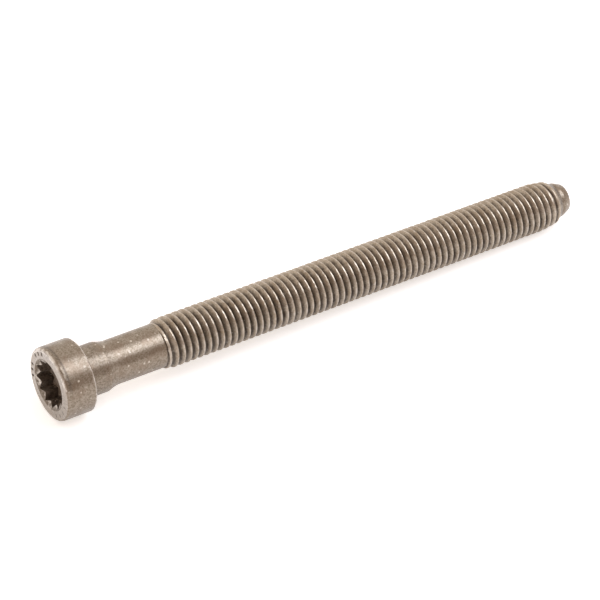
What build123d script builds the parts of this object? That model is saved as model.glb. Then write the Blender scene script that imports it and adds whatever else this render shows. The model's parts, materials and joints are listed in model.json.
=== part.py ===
from build123d import *
import os
from math import atan2, degrees, radians, sqrt, tan

# A cylinder head bolt, forged and turned in one piece, with a cylinder head, a twelve-point
# socket, a guide collar under the head, a plain shank, a long M12 x 1.75 thread and a pilot.
# All sizes are in millimetres and all angles in degrees.
# The bolt is drawn along X from the outer face of its head, at x = 0, and then laid down.

# Head
head_diameter = 17.4
head_height = 7.6
head_face_round = 0.8
head_seat_edge_break = 0.25

# Twelve-point socket: three squares, turned thirty degrees from one to the next
socket_tip_diameter = 11.9
socket_square_count = 3
socket_wall_depth = 3.6
socket_floor_angle = 135.0
socket_mouth_diameter = 12.3
socket_mouth_angle = 120.0
socket_turn = -9.7

# Guide collar under the head
collar_diameter = 11.9
collar_length = 5.4
collar_root_round = 0.4
collar_taper_length = 2.8

# Shank and thread, measured from the seat under the head
shank_diameter = 10.5
shank_end = 19.9
thread_diameter = 11.97
thread_runout_length = 2.6
thread_length = 114.7
thread_lead_length = 3.9
thread_lead_diameter = 10.9

# Pilot on the end of the thread
pilot_diameter = 8.7
pilot_shoulder_length = 1.8
pilot_length = 0.9
pilot_point_length = 1.9
pilot_point_angle = 22.0

# Places along the bolt, worked out from the sizes above
seat = head_height
collar_end = seat + collar_length
shank_start = collar_end + collar_taper_length
thread_start = seat + shank_end
thread_full_start = thread_start + thread_runout_length
thread_end = thread_start + thread_length
thread_full_end = thread_end - thread_lead_length - pilot_shoulder_length
pilot_start = thread_end
pilot_point_start = pilot_start + pilot_length
bolt_length = pilot_point_start + pilot_point_length


def turned_body():
    """The outside of the bolt, turned about X, with a solid head."""
    head_radius = head_diameter / 2
    pilot_radius = pilot_diameter / 2
    point_radius = pilot_radius - pilot_point_length * tan(radians(pilot_point_angle))
    edge = head_seat_edge_break
    corners = [
        (0, 0),
        (0, head_radius),
        (seat - edge, head_radius),
        (seat, head_radius - edge),
        (seat, collar_diameter / 2),
        (collar_end, collar_diameter / 2),
        (shank_start, shank_diameter / 2),
        (thread_start, shank_diameter / 2),
        (thread_full_start, thread_diameter / 2),
        (thread_full_end, thread_diameter / 2),
        (thread_full_end + thread_lead_length, thread_lead_diameter / 2),
        (pilot_start, pilot_radius),
        (pilot_point_start, pilot_radius),
        (bolt_length, point_radius),
        (bolt_length, 0),
    ]
    section = make_face(Polyline(*corners, close=True))
    section = round_corner(section, (0, head_radius), head_face_round)
    section = round_corner(section, (seat, collar_diameter / 2), collar_root_round)
    return revolve(Plane.XZ * section, Axis.X)


def round_corner(section, point, radius):
    """Rounds the one corner of a flat section that lies at a point."""
    corner = section.vertices().sort_by_distance((point[0], point[1], 0))[0]
    return fillet([corner], radius)


def star_section():
    """The socket's outline: equal squares turned about one centre, with a point near the top."""
    side = socket_tip_diameter / sqrt(2)
    step = 90.0 / socket_square_count
    squares = [Rotation(0, 0, socket_turn + 45 + step * i) * Rectangle(side, side)
               for i in range(socket_square_count)]
    star = squares[0]
    for square in squares[1:]:
        star += square
    return star


def socket_hollow():
    """What the socket takes out of the head: star, cone-shaped floor and countersunk mouth."""
    tip_radius = socket_tip_diameter / 2
    mouth_radius = socket_mouth_diameter / 2
    floor_drop = tip_radius / tan(radians(socket_floor_angle / 2))
    mouth_depth = mouth_radius / tan(radians(socket_mouth_angle / 2))
    floor_depth = socket_wall_depth + floor_drop
    star = Plane.YZ * extrude(star_section(), floor_depth)
    floor = revolve(make_face(Polyline((0, 0), (0, tip_radius), (socket_wall_depth, tip_radius),
                                       (floor_depth, 0), close=True)), Axis.X)
    mouth = revolve(make_face(Polyline((0, 0), (0, mouth_radius), (mouth_depth, 0), close=True)), Axis.X)
    return (star & floor) + mouth


def laid_down(bolt):
    """Lays the bolt on its head and its thread, with the middle of its base at the origin."""
    head_contact = seat - head_seat_edge_break
    drop = (head_diameter - thread_diameter) / 2
    tilt = degrees(atan2(drop, thread_full_end - head_contact))
    leaning = Rotation(0, tilt, 0) * bolt
    box = leaning.bounding_box()
    return Pos(-(box.min.X + box.max.X) / 2, 0, -box.min.Z) * leaning


head_bolt = laid_down(turned_body() - socket_hollow())

os.makedirs("parts", exist_ok=True)
export_step(head_bolt, "parts/head_bolt.step")
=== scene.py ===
"""The look of a long cylinder head bolt, lying on a pale floor in soft studio light.

The bolt is built in its own frame, in millimetres: x runs along its axis from the outer face of its head
towards its pilot, z is its top side and y is across. An angle round the axis is in degrees, 0 at the top
and growing in the sense that a right-hand screw turns to go in. The finished skin is laid down once, at
the end, where the drive mount of the record says the bolt lies.
"""

import json
import logging
from collections.abc import Callable, Sequence
from dataclasses import dataclass, field, replace
from enum import Enum
from math import asin, atan2, cos, degrees, pi, radians, sin, sqrt, tan

import bmesh
import bpy
from mathutils import Euler, Matrix, Vector, noise

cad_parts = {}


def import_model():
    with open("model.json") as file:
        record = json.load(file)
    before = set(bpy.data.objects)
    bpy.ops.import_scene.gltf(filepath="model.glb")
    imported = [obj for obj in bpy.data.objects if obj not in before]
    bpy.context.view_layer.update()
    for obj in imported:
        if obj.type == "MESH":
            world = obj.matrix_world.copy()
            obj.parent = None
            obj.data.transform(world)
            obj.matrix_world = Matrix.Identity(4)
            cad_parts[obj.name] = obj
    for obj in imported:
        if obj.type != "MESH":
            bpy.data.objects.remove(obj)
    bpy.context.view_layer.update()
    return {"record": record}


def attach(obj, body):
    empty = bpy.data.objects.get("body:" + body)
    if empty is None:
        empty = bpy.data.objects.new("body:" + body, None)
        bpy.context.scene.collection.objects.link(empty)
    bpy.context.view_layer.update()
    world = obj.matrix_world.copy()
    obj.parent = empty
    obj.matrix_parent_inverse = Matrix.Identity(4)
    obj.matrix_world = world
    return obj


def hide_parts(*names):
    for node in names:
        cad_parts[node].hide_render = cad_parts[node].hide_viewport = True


LOG = logging.getLogger("bolt")

MM = 0.001
FULL_TURN = 360.0
HALF_TURN = 180.0
BOLT_NODE = "head_bolt"
BODY = "root"

# Names of the attributes that every vertex of the skin carries.
WORN = "worn"
DEEP = "deep"

# Kinds of node that recur, and the sockets of Blender's Mix node when it mixes colours.
MATH = "ShaderNodeMath"
MAP_RANGE = "ShaderNodeMapRange"
NOISE = "ShaderNodeTexNoise"
MIX = "ShaderNodeMix"
MIX_FACTOR = 0
MIX_FIRST = 6
MIX_SECOND = 7
MIX_RESULT = 2

# What a number of a node can come from.
Source = float | bpy.types.Node | bpy.types.NodeSocket


class Zone(Enum):
    """How a part of the skin was made; the value is the number of its material slot."""

    TURNED = 0
    ROLLED = 1
    PUNCHED = 2
    FACED = 3


def linear(code: str) -> tuple[float, float, float, float]:
    """Turns an sRGB hex colour to Blender's linear colour.

    Args:
        code: Six hex digits, red first.

    Returns:
        Red, green, blue and an alpha of one.
    """
    channels = [int(code[i:i + 2], 16) / 255 for i in (0, 2, 4)]
    red, green, blue = (c / 12.92 if c <= 0.04045 else ((c + 0.055) / 1.055) ** 2.4 for c in channels)
    return red, green, blue, 1.0


def off_angle(angle: float, middle: float) -> float:
    """How far an angle is past another, from -180 to 180 degrees."""
    return (angle - middle + HALF_TURN) % FULL_TURN - HALF_TURN


def fill(tree: bpy.types.NodeTree, node: bpy.types.Node, links: dict[str | int, object]) -> None:
    """Fills the inputs of a node.

    Args:
        tree: The node tree that holds the node.
        node: The node.
        links: What each input gets, by the socket's name or number: a value, a socket, or a node,
            which stands for its first output.
    """
    for name, value in links.items():
        if isinstance(value, bpy.types.Node):
            value = value.outputs[0]
        if isinstance(value, bpy.types.NodeSocket):
            tree.links.new(value, node.inputs[name])
        else:
            node.inputs[name].default_value = value


def add_node(tree: bpy.types.NodeTree, kind: str, links: dict[str | int, object] | None = None,
             **settings: object) -> bpy.types.Node:
    """Adds one node with its settings and fills its inputs.

    Args:
        tree: The node tree that takes the node.
        kind: Blender's name for the kind of node.
        links: What each input gets, as fill takes it.
        settings: The node's own properties by name.

    Returns:
        The new node.
    """
    node = tree.nodes.new(kind)
    for name, value in settings.items():
        setattr(node, name, value)
    fill(tree, node, links or {})
    return node


@dataclass(frozen=True)
class Ramp:
    """A steady change from a first value to a last one, over a range of what it follows."""

    start: Source
    stop: Source
    first: Source = 0.0
    last: Source = 1.0

    def following(self, value: Source) -> dict[str, Source]:
        """What the inputs of a Map Range node get, so that the ramp follows a value."""
        return {"Value": value, "From Min": self.start, "From Max": self.stop,
                "To Min": self.first, "To Max": self.last}


@dataclass(frozen=True)
class Lie:
    """Where the bolt lies: the middle of its head's outer face, and its axis towards the pilot."""

    origin: Vector
    along: Vector

    @classmethod
    def from_record(cls, record: dict) -> "Lie":
        """Reads the place from the record's drive mount, whose axis points out of the head.

        Args:
            record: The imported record.

        Returns:
            The bolt's place in the row frame.
        """
        drive = next(mount for mount in record["mounts"] if mount["name"] == "drive")
        return cls(Vector(drive["pos_m"]), -Vector(drive["axis"]).normalized())

    @property
    def tilt(self) -> float:
        """The axis's lean down towards the pilot, in radians."""
        return asin(-self.along.z)

    def matrix(self) -> Matrix:
        """The move from the bolt's own frame, in millimetres, to the row frame."""
        lean = Matrix.Rotation(self.tilt, 4, "Y")
        return Matrix.Translation(self.origin) @ lean @ Matrix.Scale(MM, 4)


@dataclass(frozen=True)
class PhosphatedSteel:
    """Quenched and tempered steel under a thin, oiled phosphate coat.

    The coat is a fine felt of crystals, so a reflection is broad, grainy and grey-brown, and the oil in it
    adds a clear sheen at a flat angle. Edges that rub come up as bright bare steel, and the same bright
    colour is painted on some edges, crests and the pilot as a highlight. A dark brown painted shade
    darkens hollows, grooves and sides that lie in shade, and single specks of pale dust stick to the oil.
    Crystals are 0.01 to 0.05 mm, too fine to show, so the grain is drawn 0.3 to 0.5 mm coarse, which is
    the speckle that the eye still sees.

    A ramp here says over which range of its pattern a mark sets in, and how strong it becomes.
    """

    name: str
    coat_colour: str = "A79A8B"
    speck_colour: str = "837663"
    stain_colour: str = "8A7764"
    # The dark brown of the painted shade, which darkens hollows, grooves and shaded sides.
    shade_colour: str = "30241B"
    # Bare steel, which on some edges, crests and the pilot is a painted highlight.
    wear_and_highlight_colour: str = "DED5CA"
    dust_colour: str = "E6DCCB"

    # The patterns: crystal grain, slow change of tone, breaks in an edge, tool marks round the axis.
    grain_mm: float = 0.42
    grain_detail: float = 3.0
    grain_roughness: float = 0.65
    patch_mm: float = 3.2
    patch_detail: float = 4.0
    patch_roughness: float = 0.6
    nick_mm: float = 0.9
    tool_mark_mm: float = 0.28
    tool_mark_squeeze: float = 0.04
    tool_mark_share: float = 0.35
    fine_detail: float = 2.0
    bump_mm: float = 0.007

    specks: Ramp = Ramp(0.42, 0.62)
    stains: Ramp = Ramp(0.48, 0.64, last=0.6)

    # Bare steel, which is also painted highlight: a bright edge is broken up by this share of the breaks,
    # and stray nicks are added.
    edge_breaks: float = 1.5
    rubbed: Ramp = Ramp(1.24, 1.76)
    nicks: Ramp = Ramp(0.4, 0.46, last=0.9)

    # Painted shade: its ragged end, and how much weaker it is in some patches than in others.
    shade_share: float = 0.9
    shade_breaks: float = 0.5
    shade_cover: Ramp = Ramp(0.42, 1.0)
    shade_patches: tuple[float, float] = (0.3, 0.6)
    shade_thinnest: float = 0.75

    # Dust: one cell in a few holds a speck, whose edge is this far from its middle, as a share of a cell.
    dust_spacing_mm: float = 1.3
    dust_share: float = 0.75
    dust_edge: tuple[float, float] = (0.15, 0.25)
    dust_chance: Ramp = Ramp(0.55, 0.8)

    metallic: float = 0.9
    smoothest: float = 0.30
    roughest: float = 0.38
    rough_grain: tuple[float, float] = (0.35, 0.65)
    shade_roughening: float = 0.15
    worn_roughness: float = 0.24
    oil_weight: float = 0.5
    oil_roughness: float = 0.26

    def build(self, tilt: float) -> bpy.types.Material:
        """Makes the material, with its patterns in millimetres in the bolt's own frame.

        Args:
            tilt: The lean of the bolt's axis, in radians.

        Returns:
            The new material.
        """
        material = bpy.data.materials.new(self.name)
        material.use_nodes = True
        tree = material.node_tree
        tree.nodes.clear()
        here = add_node(tree, "ShaderNodeTexCoord").outputs["Object"]
        place = add_node(tree, "ShaderNodeMapping",
                         {"Vector": here, "Rotation": (0.0, -tilt, 0.0), "Scale": (1 / MM, 1 / MM, 1 / MM)})
        grain = add_node(tree, NOISE, {"Vector": place, "Scale": 1 / self.grain_mm,
                                       "Detail": self.grain_detail, "Roughness": self.grain_roughness})
        patch = add_node(tree, NOISE, {"Vector": place, "Scale": 1 / self.patch_mm,
                                       "Detail": self.patch_detail, "Roughness": self.patch_roughness})
        squeeze = self.tool_mark_squeeze
        stretched = add_node(tree, "ShaderNodeMapping", {"Vector": place, "Scale": (1.0, squeeze, squeeze)})
        marks = add_node(tree, NOISE, {"Vector": stretched, "Scale": 1 / self.tool_mark_mm,
                                       "Detail": self.fine_detail})
        breaks = add_node(tree, NOISE, {"Vector": place, "Scale": 1 / self.nick_mm,
                                        "Detail": self.fine_detail})
        # Bare steel, and the painted highlight that is drawn as bare steel.
        wear_and_highlight = self._wear_and_highlight(tree, breaks, grain)
        # Painted shade, a dark brown layer where the skin's deep attribute puts it.
        painted_shade = self._painted_shade_layer(tree, breaks, patch)
        dust = self._dust(tree, place)
        metallic = add_node(tree, MAP_RANGE, Ramp(0.0, 1.0, self.metallic, 0.0).following(dust))
        height = add_node(tree, MATH, {0: marks, 1: self.tool_mark_share, 2: grain},
                          operation="MULTIPLY_ADD")
        bump = add_node(tree, "ShaderNodeBump", {"Height": height, "Distance": self.bump_mm * MM})
        shader = add_node(tree, "ShaderNodeBsdfPrincipled",
                          {"Base Color": self._colour(tree, grain, patch, wear_and_highlight, painted_shade, dust),
                           "Metallic": metallic, "Roughness": self._roughness(tree, grain, wear_and_highlight, painted_shade),
                           "Normal": bump, "Coat Weight": self.oil_weight,
                           "Coat Roughness": self.oil_roughness})
        add_node(tree, "ShaderNodeOutputMaterial", {"Surface": shader})
        return material

    def _wear_and_highlight(self, tree: bpy.types.NodeTree, breaks: bpy.types.Node,
              grain: bpy.types.Node) -> bpy.types.Node:
        """Bare bright steel, broken up along the rubbed edges, and in a few stray nicks.

        On some edges, on the thread's crests and on the pilot this bright steel is a painted highlight.

        Args:
            tree: The material's tree.
            breaks: The pattern that breaks up edges.
            grain: The crystal grain.

        Returns:
            A node that gives 1 where the steel is bare, which in places is a painted highlight.
        """
        edge = add_node(tree, "ShaderNodeAttribute", attribute_name=WORN).outputs["Fac"]
        broken = add_node(tree, MATH, {0: breaks, 1: self.edge_breaks, 2: edge}, operation="MULTIPLY_ADD")
        rubbed = add_node(tree, MAP_RANGE, self.rubbed.following(broken), interpolation_type="SMOOTHSTEP")
        tapped = add_node(tree, MATH, {0: breaks, 1: grain}, operation="MULTIPLY")
        nicks = add_node(tree, MAP_RANGE, self.nicks.following(tapped))
        return add_node(tree, MATH, {0: rubbed, 1: nicks}, operation="MAXIMUM")

    def _dust(self, tree: bpy.types.NodeTree, place: bpy.types.Node) -> bpy.types.Node:
        """Stray specks of pale dust that stick to the oil.

        Args:
            tree: The material's tree.
            place: The place in the bolt's frame, in millimetres.

        Returns:
            A node that gives the dust's share, from 0 to 1.
        """
        cells = add_node(tree, "ShaderNodeTexVoronoi",
                         {"Vector": place, "Scale": 1 / self.dust_spacing_mm}).outputs
        speck = Ramp(*self.dust_edge, self.dust_share, 0.0)
        spot = add_node(tree, MAP_RANGE, speck.following(cells["Distance"]))
        chance = add_node(tree, "ShaderNodeSeparateColor", {0: cells["Color"]}).outputs["Red"]
        chosen = add_node(tree, MAP_RANGE, self.dust_chance.following(chance))
        return add_node(tree, MATH, {0: spot, 1: chosen}, operation="MULTIPLY")

    def _painted_shade_layer(self, tree: bpy.types.NodeTree, breaks: bpy.types.Node,
              patch: bpy.types.Node) -> bpy.types.Node:
        """Painted shade, dark brown, ragged where it ends and stronger in some places than in others.

        Args:
            tree: The material's tree.
            breaks: The pattern that breaks up edges.
            patch: The slow change of tone.

        Returns:
            A node that gives the painted shade's share, from 0 to 1.
        """
        hollow = add_node(tree, "ShaderNodeAttribute", attribute_name=DEEP).outputs["Fac"]
        thicker = Ramp(*self.shade_patches, self.shade_thinnest * self.shade_share, self.shade_share)
        thickness = add_node(tree, MAP_RANGE, thicker.following(patch))
        ragged = add_node(tree, MATH, {0: breaks, 1: self.shade_breaks, 2: hollow},
                          operation="MULTIPLY_ADD")
        covered = add_node(tree, MAP_RANGE, self.shade_cover.following(ragged))
        return add_node(tree, MATH, {0: covered, 1: thickness}, operation="MULTIPLY")

    def _colour(self, tree: bpy.types.NodeTree, grain: bpy.types.Node, patch: bpy.types.Node,
                wear_and_highlight: bpy.types.Node, painted_shade: bpy.types.Node, dust: bpy.types.Node) -> bpy.types.NodeSocket:
        """Grey-brown coat with darker specks and brown stains, then painted shade, bare steel that is in
        places a painted highlight, and dust on top.

        Args:
            tree: The material's tree.
            grain: The crystal grain.
            patch: The slow change of tone.
            wear_and_highlight: Where the steel is bare, which in places is a painted highlight.
            painted_shade: The share of painted shade.
            dust: The share of pale dust.

        Returns:
            The colour's socket.
        """
        specks = add_node(tree, MAP_RANGE, self.specks.following(grain))
        stains = add_node(tree, MAP_RANGE, self.stains.following(patch))
        layers = ((specks, self.speck_colour), (stains, self.stain_colour),
                  (painted_shade, self.shade_colour), (wear_and_highlight, self.wear_and_highlight_colour), (dust, self.dust_colour))
        colour = linear(self.coat_colour)
        for share, code in layers:
            mixed = add_node(tree, MIX, {MIX_FACTOR: share, MIX_FIRST: colour, MIX_SECOND: linear(code)},
                             data_type="RGBA")
            colour = mixed.outputs[MIX_RESULT]
        return colour

    def _roughness(self, tree: bpy.types.NodeTree, grain: bpy.types.Node, wear_and_highlight: bpy.types.Node,
                   painted_shade: bpy.types.Node) -> bpy.types.Node:
        """Roughness by the grain, with its own value on bare steel and higher under the painted shade.

        Args:
            tree: The material's tree.
            grain: The crystal grain.
            wear_and_highlight: Where the steel is bare, which in places is a painted highlight.
            painted_shade: The share of painted shade.

        Returns:
            A node that gives the roughness.
        """
        felt = Ramp(*self.rough_grain, self.smoothest, self.roughest)
        coat = add_node(tree, MAP_RANGE, felt.following(grain))
        filmed = add_node(tree, MATH, {0: painted_shade, 1: self.shade_roughening, 2: coat},
                          operation="MULTIPLY_ADD")
        return add_node(tree, MIX, {0: wear_and_highlight, 2: filmed, 3: self.worn_roughness}, data_type="FLOAT")


# The turned head, collar, shank and pilot: fine tool marks all round under the coat.
TURNED_STEEL = PhosphatedSteel("turned_phosphated_steel")

# The rolled thread: dies burnish its flanks, so it has no tool marks, and its grooves get a darker painted
# shade.
ROLLED_STEEL = PhosphatedSteel("rolled_phosphated_steel", coat_colour="C8BAA7", speck_colour="A99A86",
                               stain_colour="A28D73", shade_colour="2A1C10", wear_and_highlight_colour="D2C7B9",
                               grain_mm=0.34, tool_mark_share=0.0, bump_mm=0.014, dust_share=0.2,
                               metallic=0.8, smoothest=0.28, roughest=0.46, worn_roughness=0.34)

# The cold-punched socket: the punch leaves scuffed walls, and its painted shade is at full strength.
PUNCHED_STEEL = PhosphatedSteel("punched_phosphated_steel", coat_colour="C6BAAC", speck_colour="AEA090",
                                shade_colour="3A2D23", tool_mark_share=0.0, shade_share=1.0,
                                dust_share=0.2, metallic=0.6, smoothest=0.42, roughest=0.6)

# The faced end of the head: turned smooth and handled most, so its coat is thin and pale; it is made
# paler still as painted light, standing in for the brighter light on the face.
FACED_STEEL = PhosphatedSteel("faced_phosphated_steel", coat_colour="C6BFB6", speck_colour="A99F94",
                              stain_colour="B9AC9F", wear_and_highlight_colour="EFE8DF", tool_mark_share=0.1,
                              worn_roughness=0.34)

# In the order of the zones.
STEELS = (TURNED_STEEL, ROLLED_STEEL, PUNCHED_STEEL, FACED_STEEL)


@dataclass(frozen=True)
class Station:
    """One ring of the skin: its place along the axis and its radius, in mm, and its state.

    Worn is 1 on an edge that rubs bright, which in places is a painted highlight, and deep is 1 where the
    painted shade is full. Uneven is how far the ring's points may stray inwards, in mm.
    """

    place: float
    radius: float
    worn: float = 0.0
    deep: float = 0.0
    uneven: float = 0.0


def rounding(place: float, radius: float, bend: float, first: float, last: float, steps: int,
             worn: float = 0.0, uneven: float = 0.0, deep: float = 0.0) -> list[Station]:
    """The stations along a rounded edge or fillet.

    Args:
        place: The place of the rounding's centre along the axis.
        radius: The distance of its centre from the axis.
        bend: The rounding's own radius.
        first: The direction of its first point in degrees, 0 away from the axis and 90 towards the pilot.
        last: The direction of its last point.
        steps: The number of steps between them.
        worn: How bright the middle of the edge is, as worn steel that in places is a painted highlight.
        uneven: How far the points may stray inwards.
        deep: How much painted shade the last point gets; it fades fast towards the first.

    Returns:
        The stations, first to last.
    """
    stations = []
    for step in range(steps + 1):
        turn = radians(first + (last - first) * step / steps)
        rub = worn * sin(pi * (step + 0.5) / (steps + 1)) ** 2
        painted_shade = deep * (step / steps) ** 3
        stations.append(Station(place + bend * sin(turn), radius + bend * cos(turn), rub, painted_shade, uneven))
    return stations


@dataclass
class Skin:
    """A closed skin that grows ring by ring round the bolt's axis."""

    columns: int
    first_angle: float
    dents_per_mm: float = 1.1
    dent_level: float = 0.3
    points: list[Vector] = field(default_factory=list)
    worn: list[float] = field(default_factory=list)
    deep: list[float] = field(default_factory=list)
    faces: list[tuple[int, ...]] = field(default_factory=list)
    zones: list[int] = field(default_factory=list)

    def angles(self, fineness: int = 1) -> list[float]:
        """The angles of a ring's points, fineness times as many as there are columns."""
        count = self.columns * fineness
        return [self.first_angle + FULL_TURN * i / count for i in range(count)]

    def add_point(self, place: float, radius: float, angle: float, worn: float, deep: float) -> int:
        """Adds a point of the skin.

        Args:
            place: Its place along the axis.
            radius: Its distance from the axis.
            angle: Its angle round the axis, in degrees.
            worn: 1 on a bright edge.
            deep: 1 where the painted shade is full.

        Returns:
            The point's number.
        """
        turn = radians(angle)
        self.points.append(Vector((place, -radius * sin(turn), radius * cos(turn))))
        self.worn.append(worn)
        self.deep.append(deep)
        return len(self.points) - 1

    def add_ring(self, station: Station, kept: Callable[[float], float] | None = None) -> list[int]:
        """Adds the points of a round ring.

        Args:
            station: The ring's place, radius and state.
            kept: Gives the share of bright edge and painted shade that is kept at an angle; left out, all is
                kept.

        Returns:
            The numbers of its points.
        """
        ring = []
        for angle in self.angles():
            radius = station.radius
            if station.uneven:
                spot = Vector((station.place, radius * sin(radians(angle)), radius * cos(radians(angle))))
                radius -= station.uneven * max(0.0, noise.noise(spot * self.dents_per_mm) + self.dent_level)
            share = kept(angle) if kept else 1.0
            ring.append(self.add_point(station.place, radius, angle,
                                       station.worn * share, station.deep * share))
        return ring

    def join(self, first: Sequence[int], second: Sequence[int], zone: Zone) -> None:
        """Fills the band between two rings, where one may be a whole number of times finer.

        Args:
            first: The numbers of one ring's points.
            second: The numbers of the next ring's points.
            zone: How this part of the skin was made.
        """
        coarse, fine = (first, second) if len(first) <= len(second) else (second, first)
        share = len(fine) // len(coarse)
        for i, corner in enumerate(coarse):
            run = [fine[(i * share + step) % len(fine)] for step in range(share + 1)]
            self.faces.append((corner, *run, coarse[(i + 1) % len(coarse)]))
            self.zones.append(zone.value)

    def close(self, ring: Sequence[int], place: float, zone: Zone, deep: float = 0.0) -> None:
        """Closes a ring with a fan of triangles to a point on the axis.

        Args:
            ring: The numbers of the ring's points.
            place: The place of the middle point along the axis.
            zone: How this part of the skin was made.
            deep: How much painted shade the middle gets.
        """
        middle = self.add_point(place, 0.0, 0.0, 0.0, deep)
        for i, corner in enumerate(ring):
            self.faces.append((corner, ring[(i + 1) % len(ring)], middle))
            self.zones.append(zone.value)

    def follow(self, ring: Sequence[int], stations: Sequence[Station], zone: Zone,
               kept: Callable[[float], float] | None = None) -> list[int]:
        """Grows the skin from a ring through a row of stations.

        Args:
            ring: The ring to start from.
            stations: The stations to pass, in order.
            zone: How this part of the skin was made.
            kept: Gives the share of bright edge and painted shade that is kept at an angle; left out, all is
                kept.

        Returns:
            The last ring.
        """
        for station in stations:
            following = self.add_ring(station, kept)
            self.join(ring, following, zone)
            ring = following
        return ring

    def to_mesh(self, name: str) -> bpy.types.Mesh:
        """Makes a mesh of the skin, with its attributes and the numbers of its material slots.

        Args:
            name: The mesh's name.

        Returns:
            The new mesh, in the bolt's own frame.
        """
        mesh = bpy.data.meshes.new(name)
        mesh.from_pydata(self.points, [], self.faces)
        for label, values in ((WORN, self.worn), (DEEP, self.deep)):
            mesh.attributes.new(label, "FLOAT", "POINT").data.foreach_set("value", values)
        mesh.polygons.foreach_set("material_index", self.zones)
        return mesh


@dataclass
class DriveSocket:
    """The twelve-point socket: three squares turned by thirty degrees, a countersink and a cone floor."""

    tip_radius: float = 5.95
    squares: int = 3
    wall_depth: float = 3.6
    floor_half_angle: float = 67.5
    mouth_radius: float = 6.15
    mouth_half_angle: float = 60.0
    mouth_break: float = 0.06
    mouth_uneven: float = 0.02
    tip_round: float = 0.08
    floor_rings: tuple[float, ...] = (0.75, 0.5, 0.25)
    # Painted shade on the socket's floor, and more in its middle.
    floor_shade: float = 0.26
    floor_middle_shade: float = 0.34

    # How far down the wall a ring lies, as a share of its depth, and how much painted shade it gets.
    wall_rings: tuple[tuple[float, float], ...] = ((0.97, 0.66), (0.5, 0.63), (0.1, 0.57), (0.0, 0.54))
    wall_top_worn: float = 0.75
    mouth_inside_worn: float = 0.45
    mouth_inside_shade: float = 0.45
    mouth_worn: float = 0.55

    def outline(self, turn: float) -> float:
        """The star's radius at an angle from its first point.

        Args:
            turn: The angle from the star's first point, in degrees.

        Returns:
            The radius in millimetres, with the very points rounded off.
        """
        spacing = FULL_TURN / (4 * self.squares)
        off_point = abs((turn + spacing / 2) % spacing - spacing / 2)
        wall = self.tip_radius / sqrt(2) / cos(radians(45.0 - off_point))
        return min(wall, self.tip_radius - self.tip_round)

    def floor_place(self, radius: float) -> float:
        """The depth of the cone-shaped floor at a radius, in millimetres."""
        return self.wall_depth + (self.tip_radius - radius) / tan(radians(self.floor_half_angle))

    def build(self, skin: Skin) -> list[int]:
        """Grows the skin from the middle of the floor to the mouth.

        Args:
            skin: The bolt's skin.

        Returns:
            The ring of the mouth, on the head's face.
        """
        radii = [self.outline(angle - skin.first_angle) for angle in skin.angles()]
        rings = []
        for share in (*self.floor_rings[::-1], 1.0):
            rings.append([skin.add_point(self.floor_place(share * r), share * r, angle, 0.0, self.floor_shade)
                          for r, angle in zip(radii, skin.angles())])
        skin.close(rings[0], self.floor_place(0.0), Zone.PUNCHED, self.floor_middle_shade)
        mouth_slope = tan(radians(self.mouth_half_angle))
        tops = [(self.mouth_radius - r) / mouth_slope for r in radii]
        for share, deep in self.wall_rings:
            worn = 0.0 if share else self.wall_top_worn
            rings.append([skin.add_point(top + (self.floor_place(r) - top) * share, r, angle, worn, deep)
                          for top, r, angle in zip(tops, radii, skin.angles())])
        for lower, upper in zip(rings, rings[1:]):
            skin.join(lower, upper, Zone.PUNCHED)
        inside = Station(self.mouth_break / mouth_slope, self.mouth_radius - self.mouth_break,
                         self.mouth_inside_worn, self.mouth_inside_shade, self.mouth_uneven)
        outside = Station(0.0, self.mouth_radius + self.mouth_break, self.mouth_worn)
        return skin.follow(rings[-1], [inside, outside], Zone.TURNED)


@dataclass(frozen=True)
class Strokes:
    """A row of plain radial strokes, stamped into the head's face."""

    first_angle: float
    count: int
    spacing: float = 8.0
    middle_radius: float = 7.3
    length: float = 1.1
    width: float = 0.74
    depth: float = 0.22
    end_slope: float = 0.2

    def depth_at(self, radius: float, angle: float) -> float:
        """How deep the face is stamped at a point.

        Args:
            radius: The point's distance from the axis.
            angle: The point's angle in degrees.

        Returns:
            The depth in millimetres.
        """
        from_end = self.length / 2 - abs(radius - self.middle_radius)
        if from_end <= 0:
            return 0.0
        turns = [off_angle(angle, self.first_angle + i * self.spacing) for i in range(self.count)]
        aside = radians(min(abs(turn) for turn in turns)) * radius
        across = max(0.0, 1 - (2 * aside / self.width) ** 2)
        return self.depth * across * min(1.0, from_end / self.end_slope)


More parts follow.
